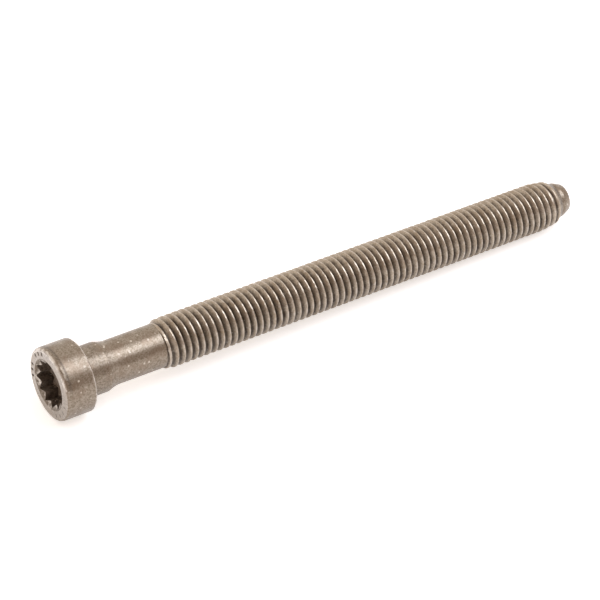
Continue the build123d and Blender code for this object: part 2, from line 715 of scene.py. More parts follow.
@dataclass
class Head:
    """The cylinder head, from the socket's mouth over its face and side to the seat.

    Its face's edge is rubbed bright, and this bright steel is also a painted highlight; a painted shade lies
    in a band behind it. It is calm on one side, where only a small share of both is kept.
    """

    radius: float = 8.7
    height: float = 7.6
    face_round: float = 0.8
    seat_break: float = 0.25
    face_fineness: int = 4
    face_rings: int = 11
    face_margin: float = 0.14
    face_uneven: float = 0.05
    face_swells_per_mm: float = 0.9
    # How much painted shade the stamped strokes get for each mm of their depth.
    stroke_shade_per_mm: float = 5.5
    edge_steps: int = 7
    edge_faced_rings: int = 2
    # The face's edge: worn steel that is also a painted highlight, and painted shade behind it.
    edge_faced_wear_and_highlight: float = 0.8
    edge_wear_and_highlight: float = 0.95
    edge_uneven: float = 0.09
    edge_shade: float = 0.25
    calm_angle: float = 118.0
    calm_reach: float = 54.0
    calm_blend: float = 16.0
    calm_share: float = 0.3
    # Painted shade in the band behind the face's edge.
    band_shade: float = 0.5
    band_uneven: float = 0.05
    side_steps: int = 11
    side_uneven: float = 0.012
    rim_worn: float = 0.85
    rim_uneven: float = 0.02
    seat_radii: tuple[float, float] = (8.2, 7.4)
    strokes: tuple[Strokes, ...] = (
        Strokes(-49.0, 3, spacing=14.0),
        Strokes(-103.0, 3, spacing=12.5),
        Strokes(106.0, 4, spacing=16.5, depth=0.1),
    )

    def build(self, skin: Skin, mouth: list[int], mouth_radius: float, collar: "GuideCollar") -> list[int]:
        """Grows the skin from the socket's mouth to the collar's root.

        Args:
            skin: The bolt's skin.
            mouth: The ring of the socket's mouth.
            mouth_radius: The radius of that ring.
            collar: The guide collar, which the seat runs up to.

        Returns:
            The last ring, at the foot of the collar's root fillet.
        """
        edge = rounding(self.face_round, self.radius - self.face_round, self.face_round, -90, 0,
                        self.edge_steps, self.edge_wear_and_highlight, self.edge_uneven, self.edge_shade)
        half = len(edge) // 2
        rubbed = [replace(station, worn=self.edge_faced_wear_and_highlight) for station in edge[:self.edge_faced_rings]]
        foot = self.height - self.seat_break
        side_step = (foot - self.face_round) / self.side_steps
        places = [self.face_round + side_step * i for i in range(1, self.side_steps)]
        band = Station(places[0], self.radius, deep=self.band_shade, uneven=self.band_uneven)
        side = [Station(place, self.radius, uneven=self.side_uneven) for place in places[1:]]
        rim = [Station(foot, self.radius, self.rim_worn, uneven=self.rim_uneven),
               Station(self.height, self.radius - self.seat_break, self.rim_worn, uneven=self.rim_uneven)]
        seat = [Station(self.height, radius)
                for radius in (*self.seat_radii, collar.radius + collar.root_round)]
        ring = self._face(skin, mouth, mouth_radius)
        ring = skin.follow(ring, rubbed + edge[self.edge_faced_rings:half], Zone.FACED, self._kept)
        ring = skin.follow(ring, edge[half:] + [band], Zone.TURNED, self._kept)
        return skin.follow(ring, side + rim + seat, Zone.TURNED)

    def _kept(self, angle: float) -> float:
        """The share of painted highlight and shade that the face's edge keeps, less on its calm side.

        Args:
            angle: The angle round the axis, in degrees.

        Returns:
            The share, from 0 to 1.
        """
        off = abs(off_angle(angle, self.calm_angle))
        calm = min(1.0, max(0.0, (self.calm_reach - off) / self.calm_blend))
        return 1.0 - (1.0 - self.calm_share) * calm

    def _face(self, skin: Skin, mouth: list[int], mouth_radius: float) -> list[int]:
        """Grows the flat face, whose points are finer so that its strokes have a true shape.

        Args:
            skin: The bolt's skin.
            mouth: The ring of the socket's mouth.
            mouth_radius: The radius of that ring.

        Returns:
            The face's outer ring.
        """
        inner = mouth_radius + self.face_margin
        outer = self.radius - self.face_round - self.face_margin
        ring = mouth
        for step in range(self.face_rings + 1):
            share = step / self.face_rings
            radius = inner + (outer - inner) * share
            following = []
            for angle in skin.angles(self.face_fineness):
                spot = Vector((0.0, radius * sin(radians(angle)), radius * cos(radians(angle))))
                swelling = noise.noise(spot * self.face_swells_per_mm) * 0.5 + 0.5
                swell = self.face_uneven * swelling * sin(pi * share)
                sunk = sum(stroke.depth_at(radius, angle) for stroke in self.strokes)
                # Painted shade in the stamped strokes, stronger where they are deeper.
                painted_shade = min(1.0, sunk * self.stroke_shade_per_mm)
                following.append(skin.add_point(swell + sunk, radius, angle, 0.0, painted_shade))
            skin.join(ring, following, Zone.FACED)
            ring = following
        return ring


@dataclass
class GuideCollar:
    """The collar that centres the bolt in its bore, with its root fillet and its hollow taper."""

    radius: float = 5.95
    start: float = 7.6
    length: float = 5.4
    root_round: float = 0.4
    root_steps: int = 5
    wall_steps: int = 6
    wall_uneven: float = 0.01
    end_round: float = 0.15
    end_steps: int = 3
    end_worn: float = 0.6
    end_uneven: float = 0.015
    taper_length: float = 2.8
    taper_bend: float = 1.4
    taper_steps: int = 8
    # Painted shade on the collar, under the head, fading out along the taper.
    painted_shade: float = 0.24

    def build(self, skin: Skin, ring: list[int], shank_radius: float) -> list[int]:
        """Grows the skin from the collar's root to the start of the shank.

        Args:
            skin: The bolt's skin.
            ring: The ring at the foot of the root fillet.
            shank_radius: The radius that the taper runs down to.

        Returns:
            The last ring of the taper.
        """
        end = self.start + self.length
        drop = self.radius - shank_radius
        slope = degrees(atan2(drop * self.taper_bend, self.taper_length))
        fillet = rounding(self.start + self.root_round, self.radius + self.root_round, self.root_round,
                          -90, -180, self.root_steps)
        wall_step = (self.length - self.root_round) / self.wall_steps
        wall = [Station(self.start + self.root_round + wall_step * i, self.radius,
                        deep=self.painted_shade, uneven=self.wall_uneven) for i in range(1, self.wall_steps)]
        edge = rounding(end - self.end_round * tan(radians(slope / 2)), self.radius - self.end_round,
                        self.end_round, 0, slope, self.end_steps, self.end_worn, self.end_uneven, self.painted_shade)
        taper = []
        for step in range(1, self.taper_steps + 1):
            share = step / self.taper_steps
            taper.append(Station(end + self.taper_length * share,
                                 shank_radius + drop * (1 - share) ** self.taper_bend,
                                 deep=self.painted_shade * (1 - share)))
        return skin.follow(ring, fillet[1:] + wall + edge + taper, Zone.TURNED)


@dataclass
class Shank:
    """The plain shank between the collar and the thread."""

    radius: float = 5.25
    end: float = 27.85
    end_margin: float = 0.12
    steps: int = 11
    uneven: float = 0.012
    # Painted shade in the step where the thread starts.
    end_shade: float = 0.6

    def build(self, skin: Skin, ring: list[int], start: float) -> list[int]:
        """Grows the skin along the shank.

        Args:
            skin: The bolt's skin.
            ring: The ring at the end of the collar's taper.
            start: The place of that ring.

        Returns:
            The shank's last ring, where the thread runs out.
        """
        stations = []
        for step in range(1, self.steps + 1):
            place = start + (self.end - self.end_margin - start) * step / self.steps
            stations.append(Station(place, self.radius, uneven=self.uneven))
        stations.append(Station(self.end, self.radius, deep=self.end_shade))
        return skin.follow(ring, stations, Zone.TURNED)


# Gives the socket of one of the thread tree's named sizes.
SizeOf = Callable[[str], bpy.types.NodeSocket]


@dataclass(frozen=True)
class GridPoint:
    """The nodes that say where a point of the thread's grid belongs on its turn.

    The turn is its share of a full turn from the first column. The level runs from 0 in the groove's
    bottom to 4 on the crest's middle, on either flank, and past_crest is 1 on the flank that faces the
    pilot. Groove and crest are the places of the groove's bottom and of the next crest's middle.
    """

    turn: bpy.types.Node
    level: bpy.types.Node
    past_crest: bpy.types.Node
    groove: bpy.types.Node
    crest: bpy.types.Node


@dataclass
class RolledThread:
    """The right-hand M12 x 1.75 thread, rolled, with its run-out at the shank and its lead at the pilot.

    Its skin is a grid, laid round the axis by Geometry Nodes: a column is an angle, and eight rows to a
    pitch follow the helix along the groove's bottom, the flanks and the crest. The rows that would lie
    beyond either end fall together on a flat ring there, and the seam is merged.
    """

    pitch: float = 1.75
    crest_radius: float = 5.985
    root_radius: float = 4.95
    root_round: float = 0.20
    crest_flat: float = 0.30
    crest_round: float = 0.07
    flank_angle: float = 30.0
    groove_place: float = 28.99
    start: float = 27.85
    root_full: float = 28.5
    crest_start: float = 27.9
    crest_full: float = 30.8
    lead_start: float = 136.5
    lead_end: float = 140.4
    lead_radius: float = 5.45
    last_groove: float = 139.9
    groove_end: float = 140.6
    end: float = 142.0
    lip_depth: float = 0.07
    nick_depth: float = 0.09
    unfilled_share: float = 0.5
    seed: float = 3.7
    rows_to_pitch: int = 8
    spare_pitches: int = 2
    merge_mm: float = 0.002

    # A crest short of its radius by more than the first of these gets a lip, full at the second.
    unfilled: Ramp = Ramp(0.02, 0.3)
    nicks_per_mm: float = 0.9
    nick_detail: float = 2.0
    nick_range: tuple[float, float] = (0.55, 0.7)

    # One value to each level, from the groove's bottom to the crest's middle.
    lip_levels: tuple[float, ...] = (0.0, 0.0, 0.0, 0.0, 1.0)
    nick_levels: tuple[float, ...] = (0.0, 0.0, 0.3, 1.0, 1.0)
    # Crest wear, which is also the crests' painted highlight.
    wear_and_highlight_levels: tuple[float, ...] = (0.0, 0.0, 0.5, 0.74, 0.7)
    # Painted shade on the flanks that face the pilot.
    pilot_side_shade: tuple[float, ...] = (1.0, 1.0, 1.0, 0.2, 0.0)

    # Rubbed crests with their painted highlight, and painted shade, count only where the groove has this
    # share of its full depth.
    worn_depth: Ramp = Ramp(0.0, 0.35)
    shade_depth: Ramp = Ramp(0.0, 0.2)

    # The painted highlight on the rim where the lead meets the cone, drawn as bare steel: how far before the
    # lead's end, how bright, how wide.
    rim_back: float = 0.15
    rim_worn: float = 0.35
    rim_width: float = 0.35

    # Painted shade by the cosine of the angle from the top: full low down, less higher up, and more again
    # along the very top.
    shade_by_height: Ramp = Ramp(-0.2, 0.6, 1.0, 0.45)
    top_shade: Ramp = Ramp(0.9, 0.99, last=0.68)
    high_flank_share: float = 0.12

    # Where, from the start, from the last groove and from the lead's end, the painted shade changes.
    step_shade: tuple[float, float] = (0.4, 0.6)
    last_shade: tuple[float, float] = (-1.0, -0.4)
    cone_shade_rise: tuple[float, float] = (0.1, 0.6)
    cone_shade: float = 0.6

    def _sizes(self, columns: int, first_angle: float, shank: Shank, pilot: "Pilot") -> dict[str, float]:
        """The tree's inputs by name, in millimetres and degrees.

        Args:
            columns: The number of columns round the axis.
            first_angle: The angle of the first column.
            shank: The shank, whose radius the run-out starts from.
            pilot: The pilot, whose cone cuts the last crests.

        Returns:
            The value of each named input.
        """
        depth = self.crest_radius - self.root_radius
        flank = radians(self.flank_angle)
        root_width = self.root_round * cos(flank)
        root_rise = self.root_round * (1 - sin(flank))
        flank_width = (depth - self.crest_round - root_rise) * tan(flank)
        pitches_before = int((self.groove_place - self.start) / self.pitch) + self.spare_pitches
        pitches_after = int((self.end - self.groove_place) / self.pitch) + self.spare_pitches
        return {
            "Columns": columns, "Rows": (pitches_before + pitches_after) * self.rows_to_pitch + 1,
            "First Angle": first_angle,
            "First Groove": self.groove_place - pitches_before * self.pitch, "Pitch": self.pitch,
            "Crest Radius": self.crest_radius, "Root Radius": self.root_radius,
            "Root Width": root_width, "Root Rise": root_rise / depth,
            "Flank End": root_width + flank_width, "Flank Rise": 1 - self.crest_round / depth,
            "Crest Start": self.pitch / 2 - self.crest_flat / 2, "Flank Slope": tan(flank),
            "Shank Radius": shank.radius, "Start": self.start, "Root Full": self.root_full,
            "Rise Start": self.crest_start, "Crest Full": self.crest_full,
            "Lead Start": self.lead_start, "Lead End": self.lead_end, "Lead Radius": self.lead_radius,
            "Last Groove": self.last_groove, "Groove End": self.groove_end, "End": self.end,
            "Pilot Start": pilot.start, "Pilot Radius": pilot.radius, "Pilot Slope": pilot.slope,
            "Lip Depth": self.lip_depth, "Nick Depth": self.nick_depth,
            "Unfilled Share": self.unfilled_share, "Seed": self.seed,
        }

    def _by_level(self, tree: bpy.types.NodeTree, level: bpy.types.Node,
                  values: Sequence[Source]) -> bpy.types.Node:
        """Picks a value by a row's level, from the groove's bottom to the crest's middle.

        Args:
            tree: The thread's tree.
            level: The row's level.
            values: The value, socket or node for each level.

        Returns:
            A node that gives the value.
        """
        whole = add_node(tree, "FunctionNodeFloatToInt", {0: level}, rounding_mode="ROUND")
        switch = add_node(tree, "GeometryNodeIndexSwitch", {"Index": whole}, data_type="FLOAT")
        while len(switch.index_switch_items) < len(values):
            switch.index_switch_items.new()
        fill(tree, switch, dict(enumerate(values, start=1)))
        return switch

    def _crest(self, tree: bpy.types.NodeTree, size: SizeOf, place: bpy.types.Node) -> bpy.types.Node:
        """The crest's radius at a place: a quick rise over the run-out and a slow fall over the lead.

        Args:
            tree: The thread's tree.
            size: Gives the socket of a named size.
            place: The place along the axis.

        Returns:
            A node that gives the radius.
        """
        missing = add_node(tree, MAP_RANGE,
                           Ramp(size("Rise Start"), size("Crest Full"), 1.0, 0.0).following(place))
        squared = add_node(tree, MATH, {0: missing, 1: missing}, operation="MULTIPLY")
        risen = add_node(tree, MAP_RANGE,
                         Ramp(0.0, 1.0, size("Crest Radius"), size("Shank Radius")).following(squared))
        falling = add_node(tree, MAP_RANGE,
                           Ramp(size("Lead Start"), size("Lead End"),
                                size("Crest Radius"), size("Lead Radius")).following(place))
        return add_node(tree, MATH, {0: risen, 1: falling}, operation="MINIMUM")

    def _root(self, tree: bpy.types.NodeTree, size: SizeOf, place: bpy.types.Node) -> bpy.types.Node:
        """The root's radius at a place: level, but shallower at both ends.

        Args:
            tree: The thread's tree.
            size: Gives the socket of a named size.
            place: The place along the axis.

        Returns:
            A node that gives the radius.
        """
        sinking = add_node(tree, MAP_RANGE,
                           Ramp(size("Start"), size("Root Full"),
                                size("Shank Radius"), size("Root Radius")).following(place),
                           interpolation_type="SMOOTHSTEP")
        rising = add_node(tree, MAP_RANGE,
                          Ramp(size("Last Groove"), size("Groove End"),
                               size("Root Radius"), size("Lead Radius")).following(place),
                          interpolation_type="SMOOTHSTEP")
        return add_node(tree, MATH, {0: sinking, 1: rising}, operation="MAXIMUM")

    def _grid(self, tree: bpy.types.NodeTree, size: SizeOf) -> tuple[bpy.types.Node, GridPoint]:
        """A flat grid, whose x is the column and whose y is the row, both counted from nought.

        Args:
            tree: The thread's tree.
            size: Gives the socket of a named size.

        Returns:
            The grid's node and what it says of each of its points.
        """
        around = add_node(tree, MATH, {0: size("Columns"), 1: 1.0}, operation="ADD")
        row_steps = add_node(tree, MATH, {0: size("Rows"), 1: 1.0}, operation="SUBTRACT")
        grid = add_node(tree, "GeometryNodeMeshGrid",
                        {"Size X": size("Columns"), "Size Y": row_steps, "Vertices X": around,
                         "Vertices Y": size("Rows")})
        spot = add_node(tree, "ShaderNodeSeparateXYZ", {0: add_node(tree, "GeometryNodeInputPosition")})
        column = add_node(tree, MATH, {0: size("Columns"), 1: 0.5, 2: spot.outputs["X"]},
                          operation="MULTIPLY_ADD")
        row = add_node(tree, MATH, {0: row_steps, 1: 0.5, 2: spot.outputs["Y"]}, operation="MULTIPLY_ADD")
        row = add_node(tree, MATH, {0: row}, operation="ROUND")
        turn = add_node(tree, MATH, {0: column, 1: size("Columns")}, operation="DIVIDE")

        # The row's pitch, and its step within the pitch, mirrored about the crest.
        rows_to_pitch = float(self.rows_to_pitch)
        pitches = add_node(tree, MATH, {0: row, 1: rows_to_pitch}, operation="DIVIDE")
        pitches = add_node(tree, MATH, {0: pitches}, operation="FLOOR")
        step = add_node(tree, MATH, {0: row, 1: rows_to_pitch}, operation="FLOORED_MODULO")
        past_crest = add_node(tree, MATH, {0: step, 1: rows_to_pitch / 2}, operation="GREATER_THAN")
        back_step = add_node(tree, MATH, {0: rows_to_pitch, 1: step}, operation="SUBTRACT")
        level = add_node(tree, MATH, {0: step, 1: back_step}, operation="MINIMUM")

        # Where the groove's bottom and the crest's middle of this turn are.
        groove = add_node(tree, MATH, {0: pitches, 1: turn}, operation="ADD")
        groove = add_node(tree, MATH, {0: groove, 1: size("Pitch"), 2: size("First Groove")},
                          operation="MULTIPLY_ADD")
        crest = add_node(tree, MATH, {0: size("Pitch"), 1: 0.5, 2: groove}, operation="MULTIPLY_ADD")
        return grid, GridPoint(turn, level, past_crest, groove, crest)

    def _place(self, tree: bpy.types.NodeTree, size: SizeOf, point: GridPoint,
               shortfall: bpy.types.Node) -> bpy.types.Node:
        """A point's place along the axis, with a wider crest where its flanks end early.

        Args:
            tree: The thread's tree.
            size: Gives the socket of a named size.
            point: The grid's point.
            shortfall: How far the crest is short of its full radius.

        Returns:
            A node that gives the place.
        """
        widening = add_node(tree, MATH, {0: shortfall, 1: size("Flank Slope")}, operation="MULTIPLY")
        widening = add_node(tree, MATH, {0: widening, 1: size("Unfilled Share")}, operation="MULTIPLY")
        flank_end = add_node(tree, MATH, {0: size("Flank End"), 1: widening}, operation="SUBTRACT")
        flank_end = add_node(tree, MATH, {0: flank_end, 1: size("Root Width")}, operation="MAXIMUM")
        crest_start = add_node(tree, MATH, {0: size("Crest Start"), 1: widening}, operation="SUBTRACT")
        crest_start = add_node(tree, MATH, {0: crest_start, 1: flank_end}, operation="MAXIMUM")
        middle = add_node(tree, MATH, {0: size("Pitch"), 1: 0.5}, operation="MULTIPLY")
        aside = self._by_level(tree, point.level, (0.0, size("Root Width"), flank_end, crest_start, middle))
        mirrored = add_node(tree, MATH, {0: size("Pitch"), 1: aside}, operation="SUBTRACT")
        aside = add_node(tree, MIX, {0: point.past_crest, 2: aside, 3: mirrored}, data_type="FLOAT")
        place = add_node(tree, MATH, {0: point.groove, 1: aside}, operation="ADD")
        return add_node(tree, "ShaderNodeClamp",
                        {"Value": place, "Min": size("Start"), "Max": size("End")})

    def _lowered(self, tree: bpy.types.NodeTree, size: SizeOf, point: GridPoint,
                 shortfall: bpy.types.Node, outline: bpy.types.Node) -> bpy.types.Node:
        """How far a lip in a crest that isn't full, and nicks in any crest, lower a point.

        Args:
            tree: The thread's tree.
            size: Gives the socket of a named size.
            point: The grid's point.
            shortfall: How far the crest is short of its full radius.
            outline: The point's place, and its direction from the axis.

        Returns:
            A node that gives the depth in millimetres.
        """
        lip = add_node(tree, MAP_RANGE, self.unfilled.following(shortfall))
        lip = add_node(tree, MATH, {0: lip, 1: size("Lip Depth")}, operation="MULTIPLY")
        lip = add_node(tree, MATH, {0: lip, 1: self._by_level(tree, point.level, self.lip_levels)},
                       operation="MULTIPLY")
        spread = add_node(tree, "ShaderNodeVectorMath",
                          {0: outline, 1: (1.0, self.crest_radius, self.crest_radius)}, operation="MULTIPLY")
        chance = add_node(tree, NOISE, {"Vector": spread, "W": size("Seed"), "Scale": self.nicks_per_mm,
                                        "Detail": self.nick_detail}, noise_dimensions="4D")
        nick = add_node(tree, MAP_RANGE, Ramp(*self.nick_range, last=size("Nick Depth")).following(chance))
        nick = add_node(tree, MATH, {0: nick, 1: self._by_level(tree, point.level, self.nick_levels)},
                        operation="MULTIPLY")
        return add_node(tree, MATH, {0: lip, 1: nick}, operation="ADD")

    def _worn(self, tree: bpy.types.NodeTree, point: GridPoint, place: bpy.types.Node,
              filled: bpy.types.Node) -> bpy.types.Node:
        """Bare steel on the crests, which is also their painted highlight, and a painted highlight on the rim
        where the lead meets the pilot's cone.

        Args:
            tree: The thread's tree.
            point: The grid's point.
            place: Its place along the axis.
            filled: The groove's depth, as a share of its full depth.

        Returns:
            A node that gives the bare steel and the painted highlight.
        """
        raised = add_node(tree, MAP_RANGE, self.worn_depth.following(filled))
        worn = add_node(tree, MATH, {0: self._by_level(tree, point.level, self.wear_and_highlight_levels), 1: raised},
                        operation="MULTIPLY")
        off_rim = add_node(tree, MATH, {0: place, 1: self.lead_end - self.rim_back}, operation="SUBTRACT")
        off_rim = add_node(tree, MATH, {0: off_rim}, operation="ABSOLUTE")
        rim = add_node(tree, MAP_RANGE, Ramp(0.0, self.rim_width, self.rim_worn, 0.0).following(off_rim))
        return add_node(tree, MATH, {0: worn, 1: rim}, operation="MAXIMUM")

    def _deep(self, tree: bpy.types.NodeTree, point: GridPoint, place: bpy.types.Node,
              cosine: bpy.types.Node, filled: bpy.types.Node) -> bpy.types.Node:
        """Painted shade in the grooves.

        The shade is painted most low down, on the flanks that face the pilot, in the end grooves and on the
        step from the shank, and also along the very top and on the pilot's cone.

        Args:
            tree: The thread's tree.
            point: The grid's point.
            place: Its place along the axis.
            cosine: The cosine of its angle from the top.
            filled: The groove's depth, as a share of its full depth.

        Returns:
            A node that gives the painted shade.
        """
        shade_by_height = add_node(tree, MAP_RANGE, self.shade_by_height.following(cosine))
        top_shade = add_node(tree, MAP_RANGE, self.top_shade.following(cosine))
        shade_by_height = add_node(tree, MATH, {0: shade_by_height, 1: top_shade}, operation="MAXIMUM")
        at_last = Ramp(*(self.last_groove + shift for shift in self.last_shade))
        last = add_node(tree, MAP_RANGE, at_last.following(place))
        low_flank = add_node(tree, MATH, {0: shade_by_height, 1: last}, operation="MAXIMUM")
        high_flank = add_node(tree, MATH, {0: low_flank, 1: self.high_flank_share}, operation="MULTIPLY")
        head_side = self._by_level(tree, point.level, (1.0, low_flank, high_flank, 0.0, 0.0))
        pilot_side = self._by_level(tree, point.level, self.pilot_side_shade)
        painted_shade = add_node(tree, MIX, {0: point.past_crest, 2: head_side, 3: pilot_side}, data_type="FLOAT")
        sunk = add_node(tree, MAP_RANGE, self.shade_depth.following(filled))
        deep = add_node(tree, MATH, {0: painted_shade, 1: sunk}, operation="MULTIPLY")
        at_step = Ramp(*(self.start + shift for shift in self.step_shade), 1.0, 0.0)
        step = add_node(tree, MAP_RANGE, at_step.following(place))
        on_step = self._by_level(tree, point.level, (0.0, step, step, 0.0, 0.0))
        deep = add_node(tree, MATH, {0: deep, 1: on_step}, operation="MAXIMUM")
        at_cone = Ramp(*(self.lead_end + shift for shift in self.cone_shade_rise), last=self.cone_shade)
        on_cone = add_node(tree, MAP_RANGE, at_cone.following(place))
        return add_node(tree, MATH, {0: deep, 1: on_cone}, operation="MAXIMUM")

    def _tree(self, sizes: dict[str, float], material: bpy.types.Material) -> bpy.types.NodeTree:
        """Builds the Geometry Nodes tree that lays the thread.

        Args:
            sizes: The tree's inputs by name, whose kind of number decides the kind of socket.
            material: The thread's material.

        Returns:
            The new tree.
        """
        tree = bpy.data.node_groups.new("Rolled thread", "GeometryNodeTree")
        for name, value in sizes.items():
            kind = "NodeSocketInt" if isinstance(value, int) else "NodeSocketFloat"
            tree.interface.new_socket(name=name, in_out="INPUT", socket_type=kind)
        tree.interface.new_socket(name="Geometry", in_out="OUTPUT", socket_type="NodeSocketGeometry")
        inputs = add_node(tree, "NodeGroupInput").outputs
        size = inputs.__getitem__
        grid, point = self._grid(tree, size)

        # Each turn's crest is level, at the radius for its middle.
        crest = self._crest(tree, size, point.crest)
        shortfall = add_node(tree, MATH, {0: size("Crest Radius"), 1: crest}, operation="SUBTRACT")
        place = self._place(tree, size, point, shortfall)
        angle = add_node(tree, MATH, {0: point.turn, 1: FULL_TURN, 2: size("First Angle")},
                         operation="MULTIPLY_ADD")
        angle = add_node(tree, MATH, {0: angle}, operation="RADIANS")
        sine = add_node(tree, MATH, {0: angle}, operation="SINE")
        cosine = add_node(tree, MATH, {0: angle}, operation="COSINE")
        outline = add_node(tree, "ShaderNodeCombineXYZ", {"X": place, "Y": sine, "Z": cosine})

        # The radius: from the root to the crest by the row's rise, less what a lip and nicks take off it;
        # the first crest climbs from the shank, and the pilot's cone cuts the last of the lead.
        root = self._root(tree, size, place)
        first_rise = Ramp(size("Rise Start"), size("Root Full"), size("Shank Radius"), size("Crest Radius"))
        climbing = add_node(tree, MAP_RANGE, first_rise.following(place))
        crest = add_node(tree, MATH, {0: crest, 1: climbing}, operation="MINIMUM")
        depth = add_node(tree, MATH, {0: crest, 1: root}, operation="SUBTRACT")
        depth = add_node(tree, MATH, {0: depth, 1: 0.0}, operation="MAXIMUM")
        full_depth = add_node(tree, MATH, {0: size("Crest Radius"), 1: size("Root Radius")},
                              operation="SUBTRACT")
        rise = self._by_level(tree, point.level, (0.0, size("Root Rise"), size("Flank Rise"), 1.0, 1.0))
        lowered = self._lowered(tree, size, point, shortfall, outline)
        lowered = add_node(tree, MATH, {0: lowered, 1: full_depth}, operation="DIVIDE")
        rise = add_node(tree, MATH, {0: rise, 1: lowered}, operation="SUBTRACT")
        radius = add_node(tree, MATH, {0: depth, 1: rise, 2: root}, operation="MULTIPLY_ADD")
        to_pilot = add_node(tree, MATH, {0: size("Pilot Start"), 1: place}, operation="SUBTRACT")
        cone = add_node(tree, MATH, {0: to_pilot, 1: size("Pilot Slope"), 2: size("Pilot Radius")},
                        operation="MULTIPLY_ADD")
        radius = add_node(tree, MATH, {0: radius, 1: cone}, operation="MINIMUM")

        # The place in the bolt's own frame, the bright steel with its painted highlight, and the painted
        # shade.
        across = add_node(tree, MATH, {0: radius, 1: sine}, operation="MULTIPLY")
        across = add_node(tree, MATH, {0: across, 1: -1.0}, operation="MULTIPLY")
        upward = add_node(tree, MATH, {0: radius, 1: cosine}, operation="MULTIPLY")
        position = add_node(tree, "ShaderNodeCombineXYZ", {"X": place, "Y": across, "Z": upward})
        filled = add_node(tree, MATH, {0: depth, 1: full_depth}, operation="DIVIDE")
        states = {WORN: self._worn(tree, point, place, filled),
                  DEEP: self._deep(tree, point, place, cosine, filled)}
        laid = grid
        for name, value in states.items():
            laid = add_node(tree, "GeometryNodeStoreNamedAttribute",
                            {"Geometry": laid, "Name": name, "Value": value},
                            data_type="FLOAT", domain="POINT")
        laid = add_node(tree, "GeometryNodeSetPosition", {"Geometry": laid, "Position": position})
        merged = add_node(tree, "GeometryNodeMergeByDistance", {"Geometry": laid, "Distance": self.merge_mm})
        real = add_node(tree, "GeometryNodeRealizeInstances", {"Geometry": merged})
        dressed = add_node(tree, "GeometryNodeSetMaterial", {"Geometry": real, "Material": material})
        add_node(tree, "NodeGroupOutput", {"Geometry": dressed})
        return tree

    def build(self, skin: Skin, shank: Shank, pilot: "Pilot", material: bpy.types.Material) -> bpy.types.Mesh:
        """Lays the thread with Geometry Nodes and makes it a plain mesh.

        Args:
            skin: The bolt's skin, whose columns the thread continues.
            shank: The shank before the thread.
            pilot: The pilot after it.
            material: The thread's material.

        Returns:
            The thread's mesh, in the bolt's own frame.
        """
        sizes = self._sizes(skin.columns, skin.first_angle, shank, pilot)
        tree = self._tree(sizes, material)
        holder = bpy.data.objects.new("thread_grid", bpy.data.meshes.new("thread_grid"))
        modifier = holder.modifiers.new("Rolled thread", "NODES")
        modifier.node_group = tree
        for item in tree.interface.items_tree:
            if item.in_out == "INPUT":
                modifier[item.identifier] = sizes[item.name]
        bpy.context.scene.collection.objects.link(holder)
        evaluated = holder.evaluated_get(bpy.context.evaluated_depsgraph_get())
        mesh = bpy.data.meshes.new_from_object(evaluated)
        holder.modifiers.remove(modifier)
        bpy.data.objects.remove(holder)
        return mesh


@dataclass
class Pilot:
    """The pilot that finds the hole: a short cylinder after the lead cone, with a chamfered point."""

    radius: float = 4.35
    start: float = 142.2
    slope: float = 0.611
    root_round: float = 0.3
    root_steps: int = 5
    # Painted shade in the root fillet.
    root_shade: float = 0.4
    # Painted highlight, drawn as bare steel, on the middle of the cylinder.
    belt_highlight: float = 0.4
    point_start: float = 143.1
    point_angle: float = 22.0
    point_round: float = 1.6
    # Painted highlight, drawn as bare steel, on the shoulder of the point.
    point_highlight: float = 0.5
    chamfer_uneven: float = 0.01
    end: float = 145.0
    end_round: float = 0.2
    end_worn: float = 0.6
    edge_steps: int = 4
    edge_uneven: float = 0.02

    # The end face is dished: how deep it is at two radii and in its middle.
    dish: tuple[tuple[float, float], ...] = ((0.02, 2.2), (0.06, 1.1))
    dish_depth: float = 0.08

    def build(self, skin: Skin, thread: RolledThread) -> list[int]:
        """Grows the skin from the thread's last ring to the middle of the bolt's end.

        Args:
            skin: The bolt's skin.
            thread: The thread, whose last ring this skin meets.

        Returns:
            The first ring, which lies on the thread's last one.
        """
        cone_radius = self.radius + self.slope * (self.start - thread.end)
        # The first ring carries the painted shade of the thread's cone.
        first = skin.add_ring(Station(thread.end, cone_radius, deep=thread.cone_shade))
        fall = degrees(atan2(self.slope, 1.0))
        hollow = self.root_round * tan(radians(fall / 2))
        fillet = rounding(self.start + hollow, self.radius + self.root_round, self.root_round,
                          fall - HALF_TURN, -HALF_TURN, self.root_steps, deep=self.root_shade)
        belt = Station((self.start + self.point_start) / 2, self.radius, self.belt_highlight)
        lean = radians(self.point_angle)
        shoulder = rounding(self.point_start - self.point_round * tan(lean / 2),
                            self.radius - self.point_round, self.point_round, 0, self.point_angle,
                            self.edge_steps, self.point_highlight, self.edge_uneven)
        chamfer = Station((self.point_start + self.end) / 2,
                          self.radius - (self.end - self.point_start) / 2 * tan(lean),
                          uneven=self.chamfer_uneven)
        rim_place = self.end - self.end_round + self.end_round * sin(lean)
        rim_radius = self.radius - (rim_place - self.point_start) * tan(lean) - self.end_round * cos(lean)
        rim = rounding(self.end - self.end_round, rim_radius, self.end_round, self.point_angle, 90,
                       self.edge_steps, self.end_worn, self.edge_uneven)
        face = [Station(self.end - depth, radius) for depth, radius in self.dish]
        ring = skin.follow(first, fillet + [belt] + shoulder + [chamfer] + rim + face, Zone.TURNED)
        skin.close(ring, self.end - self.dish_depth, Zone.TURNED)
        return first


